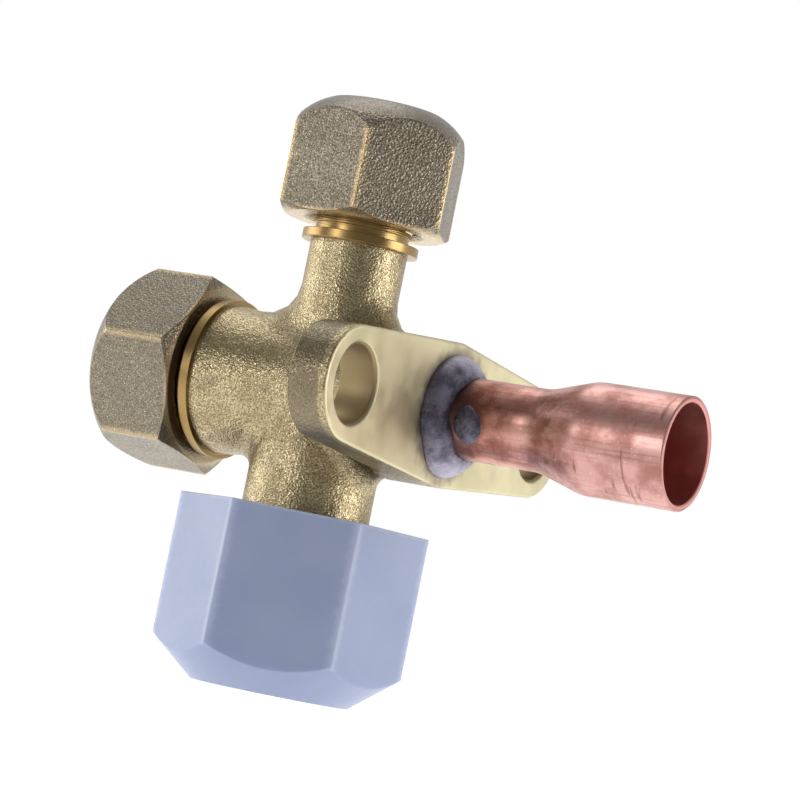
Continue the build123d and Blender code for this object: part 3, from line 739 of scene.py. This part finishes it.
# %% Finish the plastic
BLUE_GREY, PALE_BLUE_GREY = linear(153, 165, 196), linear(160, 171, 201)
PLASTIC_EDGE_HIGHLIGHT = linear(208, 214, 232)
FLARE_CAP_CORNER = 21.52 * MM / math.sqrt(3.0)
flare_cap_top = corners("flare_cap")[1][2]
EDGE_HIGHLIGHT_WIDTH, TOP_HIGHLIGHT_IN, EDGE_HIGHLIGHT_SHARE, HIGHLIGHT_FRAY = 0.25 * MM, 0.10 * MM, 0.4, 0.5 * MM
HIGHLIGHT_FRAYS, ORANGE_PEEL, CLOUDS = 1600, 1500, 140
PLASTIC_GLOSS, PEEL_DEPTH, PLASTIC_EDGE = (0.38, 0.48), 0.012 * MM, 0.30 * MM
LIGHT_SHARE, LIGHT_REACH, LIGHT_DEPTH = 0.5, (0.5, 0.6, 0.9), 2.2 * MM


def moulded_plastic():
    """Even blue-grey with slight clouding, some light let into the surface, and a fine orange-peel. The
    corners and the rim, which lie furthest out and highest, get a painted highlight a little paler."""
    f = Finish("moulded_plastic", metallic=0.0)
    clouds, peel = f.noise(CLOUDS), f.noise(ORANGE_PEEL)
    fraying = f.times(f.noise(HIGHLIGHT_FRAYS, 3.0), HIGHLIGHT_FRAY)
    out, high = f.plus(f.radius(f.x, f.y, riser_x, 0.0), fraying), f.plus(f.z, fraying)
    # The corners and top rim are painted paler: a painted highlight, frayed by noise.
    highlit_edges = f.most(f.spread(out, FLARE_CAP_CORNER - EDGE_HIGHLIGHT_WIDTH, FLARE_CAP_CORNER + EDGE_HIGHLIGHT_WIDTH),
                    f.spread(high, flare_cap_top - TOP_HIGHLIGHT_IN, flare_cap_top + EDGE_HIGHLIGHT_WIDTH))
    skin = f.mix(f.spread(clouds, *MIDDLE), BLUE_GREY, PALE_BLUE_GREY)
    f.colour(f.mix(f.times(highlit_edges, EDGE_HIGHLIGHT_SHARE), skin, PLASTIC_EDGE_HIGHLIGHT))
    f.gloss(f.spread(peel, *MIDDLE, *PLASTIC_GLOSS))
    f.shader.inputs["Subsurface Weight"].default_value = LIGHT_SHARE
    f.shader.inputs["Subsurface Radius"].default_value = LIGHT_REACH
    f.shader.inputs["Subsurface Scale"].default_value = LIGHT_DEPTH
    f.relief(peel, PEEL_DEPTH, PLASTIC_EDGE)
    return f.material


dress(moulded_plastic(), "flare_cap")
print("plastic finished, its top at", round(flare_cap_top / MM, 2), "mm")

# %% [markdown]
# ## What the caps hide
#
# Unscrew a cap and the stem, its ring and the little valve core come into view. They are turned brass,
# spring steel, rubber and a white sealing plastic. None shows in the portrait, but the motion does show
# them, so each gets a finish of its own kind rather than one grey for all.

# %% Finish the inner pieces
SMOOTHER, ROUGHER = 0.05, 0.08


def plain_finish(name, low, high, metallic, rough, per_metre, depth):
    """Two near colours mixed by chance, with a gloss and a relief that follow the same chance."""
    f = Finish(name, metallic)
    chance = f.noise(per_metre, 3.0)
    f.colour(f.mix(f.spread(chance, *MIDDLE), low, high))
    f.gloss(f.spread(chance, *MIDDLE, rough - SMOOTHER, rough + ROUGHER))
    f.relief(chance, depth)
    return f.material


turned = plain_finish("turned_brass", linear(202, 180, 120), linear(222, 202, 146), metallic=1.0,
                      rough=0.30, per_metre=2200, depth=0.006 * MM)
steel = plain_finish("spring_steel", linear(150, 150, 152), linear(182, 182, 184), metallic=1.0,
                     rough=0.28, per_metre=2600, depth=0.004 * MM)
rubber = plain_finish("black_rubber", linear(26, 26, 28), linear(40, 40, 42), metallic=0.0,
                      rough=0.62, per_metre=1800, depth=0.010 * MM)
gasket = plain_finish("white_gasket", linear(222, 220, 212), linear(236, 234, 226), metallic=0.0,
                      rough=0.50, per_metre=900, depth=0.008 * MM)
dress(turned, "stem", "core_plug", "core_barrel", "core_collar", "core_poppet")
dress(steel, "stem_retaining_ring", "core_spring", "core_pin")
dress(rubber, "stem_o_ring", "core_poppet_seal", "stem_cap_seal", "service_cap_seal")
dress(gasket, "core_gasket")
print("inner pieces finished")

# %% [markdown]
# ## Turning a grid of points into a closed piece
#
# Every new piece is a surface over a grid: one number runs along it and another round it. The corner
# points are worked out as whole arrays, and the faces follow from how a grid is numbered. A row of
# rings wraps round its section, and either a flat lid at each end makes it solid, or its last ring
# joins its first. The solid's volume tells whether the faces point outwards.

# %% Define the sweep
def grid_faces(along, around, closed):
    """Quads between neighbouring rings, numbered ring by ring. Each ring wraps round, and in a closed
    grid the last ring is joined to the first; otherwise the first and last become lids."""
    i, j = np.meshgrid(np.arange(along if closed else along - 1), np.arange(around), indexing="ij")
    n, k = (i + 1) % along, (j + 1) % around
    quads = np.stack([i * around + j, n * around + j, n * around + k, i * around + k], -1)
    faces = quads.reshape(-1, 4).tolist()
    if not closed:
        faces += [list(range(around)), [(along - 1) * around + n for n in range(around)][::-1]]
    return faces


def signed_volume(mesh):
    """Six times the volume, from the triangles' triple products: negative if the faces point inwards."""
    mesh.calc_loop_triangles()
    points = np.empty(len(mesh.vertices) * 3)
    mesh.vertices.foreach_get("co", points)
    corner = np.empty(len(mesh.loop_triangles) * 3, dtype=np.int32)
    mesh.loop_triangles.foreach_get("vertices", corner)
    a, b, c = points.reshape(-1, 3)[corner.reshape(-1, 3)].transpose(1, 0, 2)
    return float(np.einsum("ij,ij->", a, np.cross(b, c)))


def swept_piece(name, rings, body, material, closed=False, smooth=False):
    """A piece whose surface runs over rings, an array of shape (along, round, 3). It rides on a body
    and takes the finish that it is given."""
    along, around, _ = rings.shape
    mesh = bpy.data.meshes.new(name)
    mesh.from_pydata(rings.reshape(-1, 3).tolist(), [], grid_faces(along, around, closed))
    mesh.validate()
    mesh.update()
    if signed_volume(mesh) < 0:
        mesh.flip_normals()
    if smooth:
        mesh.shade_smooth()
    mesh.materials.append(material)
    piece = bpy.data.objects.new(name, mesh)
    bpy.context.scene.collection.objects.link(piece)
    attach(piece, body)
    print(name, "faces:", len(mesh.polygons))
    return piece


print("sweep ready")

# %% [markdown]
# ## Threads
#
# A thread is one ridge wound round a cylinder, rising by the pitch in each turn. The solids stop at the
# thread's root, so the ridge is all that is missing. It could be a bump in the shading, but the outline
# of a bare port would then be straight, so it is real: a small flat-topped section swept along a helix,
# its foot sunk a little into the root, its height fading to almost nothing at both ends.

# %% Define the thread
POINTS_A_TURN, SUNK = 48, 0.06 * MM
END_GAP, RUN_OUT, FAINTEST = 0.45, 0.5, 0.12
FULL, SLIM = (0.44, 0.07), (0.39, 0.05)


def wind_thread(name, root, major, pitch, first, last, frame_axes, centre, body="valve", wide=FULL):
    """A right-handed helix. With t the turns wound so far, the angle is t whole turns and the height is
    first plus t pitches. The section's two feet lie behind the root and its flat crest at the major
    radius, each as far from the middle as wide says, in pitches; both fade towards the root over the
    first and last half turn. A major radius smaller than the root winds the thread inside a bore."""
    u, v, w = frame_axes
    turns = (last - first) / pitch - 2 * END_GAP
    t = np.linspace(0.0, turns, int(turns * POINTS_A_TURN) + 1)
    fade = np.clip(np.minimum(t, turns - t) / RUN_OUT, 0.0, 1.0)[:, None]
    foot = root - math.copysign(SUNK, major - root)
    radius = np.array([foot, major, major, foot])[None, :]
    radius = foot + (radius - foot) * (FAINTEST + (1 - FAINTEST) * fade)
    offset = np.array([-wide[0], -wide[1], wide[1], wide[0]])[None, :] * pitch * (0.5 + 0.5 * fade)
    angle = (2 * np.pi * t)[:, None]
    height = first + END_GAP * pitch + pitch * t[:, None] + offset
    rings = (centre + (radius * np.cos(angle))[..., None] * u
             + (radius * np.sin(angle))[..., None] * v + height[..., None] * w)
    return swept_piece(name, rings, body, turned)


RIGHT, BACK, UP = np.eye(3)
ON_STEM, ON_RISER, UNDER_RISER = (BACK, -UP, -RIGHT), (RIGHT, BACK, UP), (RIGHT, -BACK, -UP)
stem_line, riser_line = np.zeros(3), np.array([riser_x, 0, 0])
print("thread ready")

# %% [markdown]
# The three ports differ only in their sizes and in which way they point. Each row below gives the root
# and the major radius, the pitch, and where along the port the thread begins and ends.

# %% Wind the threads of the ports
STEM_PITCH, SERVICE_PITCH, FLARE_PITCH = 1.0 * MM, 1.27 * MM, 1.411 * MM
STEM_FIRST, SERVICE_FIRST, FLARE_FIRST = 27.4 * MM, 16.7 * MM, 12.9 * MM
wind_thread("stem_port_thread", 6.39 * MM, 7.0 * MM, STEM_PITCH, STEM_FIRST, 33.0 * MM,
            ON_STEM, stem_line)
wind_thread("service_port_thread", 4.776 * MM, 5.556 * MM, SERVICE_PITCH, SERVICE_FIRST, 24.4 * MM,
            ON_RISER, riser_line)
wind_thread("flare_port_thread", 7.0725 * MM, 7.9375 * MM, FLARE_PITCH, FLARE_FIRST, 24.7 * MM,
            UNDER_RISER, riser_line)

# %% [markdown]
# Each brass cap has the matching thread inside. It is the same helix wound in a bore, shifted by half
# a pitch, so that its ridge lies in the groove of the port's. Because the cap's turn and travel are tied
# by the same pitch, the two stay in step while the cap is screwed off. The ridge is a little slimmer
# than the groove, which is the play that a real thread has.

# %% Wind the threads inside the caps
wind_thread("stem_cap_thread", STEM_BORE, 6.46 * MM, STEM_PITCH, STEM_FIRST - STEM_PITCH / 2, 32.6 * MM,
            ON_STEM, stem_line, "stem_cap", SLIM)
wind_thread("service_cap_thread", SERVICE_BORE, 4.85 * MM, SERVICE_PITCH,
            SERVICE_FIRST + SERVICE_PITCH / 2, 24.6 * MM, ON_RISER, riser_line, "service_cap", SLIM)

# %% [markdown]
# ## The core's spring
#
# Under the service cap a small valve core is held shut by a coil spring, which shortens when the pin
# is pressed. A solid can't shorten, so the collar would sink into its top turns. The spring is wound
# again here as one wire along a helix, in place of the solid.

# %% Wind the spring
SPRING_WIRE, SPRING_TURNS = 0.14 * MM, 7.0
WIRE_POINTS, COIL_POINTS = 12, 40
END_ROOM, BUNCHING = 1.1, 0.5


def coiled_wire(low, high, wire, turns):
    """With s from 0 to 1, the wire's middle goes round the axis turns times while its height eases from
    just over one wire radius above the bottom to as much below the top, so the end turns lie closer
    together. Round it, a circle is drawn from the outward direction and the one square to it and to the
    wire."""
    s = np.linspace(0.0, 1.0, int(turns * COIL_POINTS) + 1)[:, None]
    angle = 2 * np.pi * turns * s
    radius = (high[0] - low[0]) / 2 - wire
    rise = high[2] - low[2] - 2 * END_ROOM * wire
    height = low[2] + END_ROOM * wire + rise * (s - BUNCHING * np.sin(2 * np.pi * s) / (2 * np.pi))
    slope = rise * (1 - BUNCHING * np.cos(2 * np.pi * s))
    out = np.concatenate([np.cos(angle), np.sin(angle), 0 * s], 1)
    run = np.concatenate([-np.sin(angle), np.cos(angle), slope / (2 * np.pi * turns * radius)], 1)
    run /= np.linalg.norm(run, axis=1, keepdims=True)
    side = np.cross(run, out)
    middle = riser_line + radius * out + height * UP
    q = np.linspace(0, 2 * np.pi, WIRE_POINTS, endpoint=False)[None, :, None]
    return middle[:, None, :] + wire * (np.cos(q) * out[:, None, :] + np.sin(q) * side[:, None, :])


spring_low, spring_high = corners("core_spring")
spring = swept_piece("core_spring_wire", coiled_wire(spring_low, spring_high, SPRING_WIRE, SPRING_TURNS),
                     "valve", steel, smooth=True)
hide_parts("core_spring")
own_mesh(spring)

# %% [markdown]
# ## The braze
#
# Molten filler ran into the joint between stub and flange and froze as a lumpy collar, dark blue-grey
# where the flux burned, with a painted highlight that makes it paler above and below. The finish clouds
# it with coarse noise and pits it with fine; one even grey would look like paint.

# %% Finish the braze
BURNT, VIOLET, HIGHLIGHT_VIOLET, GRIT = (
    linear(60, 60, 72), linear(118, 112, 128), linear(190, 184, 202), linear(150, 142, 158))
PALE_FROM_Z, PALE_FULL_Z, PALE_FRAY = 4.4 * MM, 7.2 * MM, 2.5 * MM
BRAZE_CLOUDS, BRAZE_GRIT, BRAZE_GLOSS, BRAZE_DEPTH = 520, 3800, (0.38, 0.60), 0.09 * MM


def burnt_braze():
    """Dark blue-grey metal, clouded violet, rough and pitted, with a painted highlight above and below."""
    f = Finish("burnt_braze", metallic=0.75)
    clouds, grit = f.noise(BRAZE_CLOUDS, 4.0, 0.65), f.noise(BRAZE_GRIT, 3.0, 0.6)
    ends = f.plus(f.math("ABSOLUTE", f.z), f.times(clouds, PALE_FRAY))
    f.colour(f.paint(f.mix(f.spread(clouds, 0.34, 0.66), BURNT, VIOLET),
                     # The top and bottom of the collar are painted paler: a painted highlight.
                     (f.spread(ends, PALE_FROM_Z, PALE_FULL_Z, 0.0, 0.85), HIGHLIGHT_VIOLET),
                     (f.spread(grit, 0.45, 0.75, 0.0, 0.4), GRIT)))
    f.gloss(f.spread(grit, *MIDDLE, *BRAZE_GLOSS))
    f.relief(f.plus(grit, clouds), BRAZE_DEPTH)
    return f.material


braze_skin = burnt_braze()
print("braze finished")

# %% [markdown]
# The solid has the collar's size but not its lumps. The piece that stands for it is a fillet: wide
# where it wetted the flange, thin where it climbed the tube, and pushed in and out by a few waves round
# the ring, so that no two parts of it are alike. Sculpting would do as well, but couldn't be repeated.

# %% Pour the braze
COLLAR_AROUND, COLLAR_RISE, COLLAR_BACK = 200, 30, 6
COLLAR_POWER, RIPPLE, RIPPLES_UP = 1.1, 0.07, 2.2
SUNK_IN_TUBE, INSIDE_SOLID, OFF_FACE, PAST_SOLID = 0.03 * MM, 0.04 * MM, 0.02 * MM, 0.5 * MM
EVEN_BREADTH, EVEN_LENGTH = 0.86, 0.80
BREADTH_SEED, LENGTH_SEED, RIPPLE_SEED = 3, 8, 21


def lumps(angle, seed):
    """A smooth closed curve of chance, from -1 to 1: seven waves that each fit whole round the ring,
    with strengths and starts drawn once from a seed, the finer the fainter."""
    draw = np.random.default_rng(seed)
    order = np.arange(2, 9)
    strength, start = draw.uniform(0.4, 1.0, 7) / order ** 0.5, draw.uniform(0, 2 * np.pi, 7)
    wave = (strength[:, None] * np.cos(order[:, None] * angle[None, :] + start[:, None])).sum(0)
    return wave / np.abs(wave).max()


def braze_collar(size_x, size_z):
    """A ring about x, wide on the flange and thin on the tube. With q running from 0 on the flange to a
    quarter turn on the tube, its radius falls as a power of the cosine of q and its x rises as a power
    of the sine; what isn't even in both is lumps. It closes along the tube, back down to the face."""
    angle = np.linspace(0, 2 * np.pi, COLLAR_AROUND, endpoint=False)
    q = np.linspace(0, np.pi / 2, COLLAR_RISE)
    inner, outer = TUBE_OUTER - SUNK_IN_TUBE, size_z - INSIDE_SOLID
    low, high = OFF_FACE, size_x + PAST_SOLID
    breadth = (outer - inner) * (EVEN_BREADTH + (1 - EVEN_BREADTH) * lumps(angle, BREADTH_SEED))
    length = (high - low) * (EVEN_LENGTH + (1 - EVEN_LENGTH) * lumps(angle, LENGTH_SEED))
    ripple = 1 + RIPPLE * np.sin(RIPPLES_UP * q)[:, None] * lumps(angle, RIPPLE_SEED)[None, :]
    radius = inner + breadth[None, :] * (np.cos(q)[:, None] ** COLLAR_POWER) * ripple
    x = low + length[None, :] * (np.sin(q)[:, None] ** COLLAR_POWER)
    home = np.linspace(1, 0, COLLAR_BACK + 2)[1:, None]
    radius = np.vstack([radius, np.full((COLLAR_BACK + 1, COLLAR_AROUND), inner)])
    x = np.vstack([x, low + length[None, :] * home])
    return np.stack([x, radius * np.cos(angle)[None, :], radius * np.sin(angle)[None, :]], -1)


ring_high = corners("braze_ring")[1]
collar = swept_piece("braze_collar", braze_collar(ring_high[0], ring_high[2]), "valve", braze_skin,
                     closed=True, smooth=True)
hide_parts("braze_ring")

# %% [markdown]
# The stray drop is a flattened ball that froze on the side of the tube. A ball made of rings would
# pinch at its two ends, so each end is one lid of the sweep, small enough to vanish. Two waves round
# it and a tail below spoil its roundness, and it follows the tube with its foot sunk a little, so that
# it sits in, not on, the copper.

# %% Drop the stray metal
DROP_WIDE, DROP_TALL, DROP_DEEP, DROP_SUNK = 1.45 * MM, 2.05 * MM, 0.62 * MM, 0.18 * MM
DROP_RINGS, DROP_AROUND, TAIL = 28, 48, 0.55


def stray_drop():
    """Rings of an ellipsoid, laid on the tube: with b from nearly -90 to nearly 90 degrees, a ring's size
    goes as the cosine of b and its height as the sine; the waves vary the size round the ring, the lower
    half narrows into a tail, and the height is counted from the tube's round surface at that z."""
    b = np.linspace(-0.49, 0.49, DROP_RINGS)[:, None] * np.pi
    angle = np.linspace(0, 2 * np.pi, DROP_AROUND, endpoint=False)
    size = 1 + 0.10 * np.cos(2 * angle + 0.6) + 0.06 * np.cos(3 * angle + 1.1)
    narrow = 1 - TAIL * np.clip(-np.sin(angle), 0, 1) ** 2
    x = DROP_X + DROP_WIDE * np.cos(b) * (size * narrow * np.cos(angle))[None, :]
    z = DROP_Z + DROP_TALL * np.cos(b) * (size * np.sin(angle))[None, :]
    y = -np.sqrt(TUBE_OUTER ** 2 - z ** 2) + DROP_SUNK - DROP_DEEP * np.sin(b)
    return np.stack([x, y, z], -1)


swept_piece("braze_drop", stray_drop(), "valve", braze_skin, smooth=True)
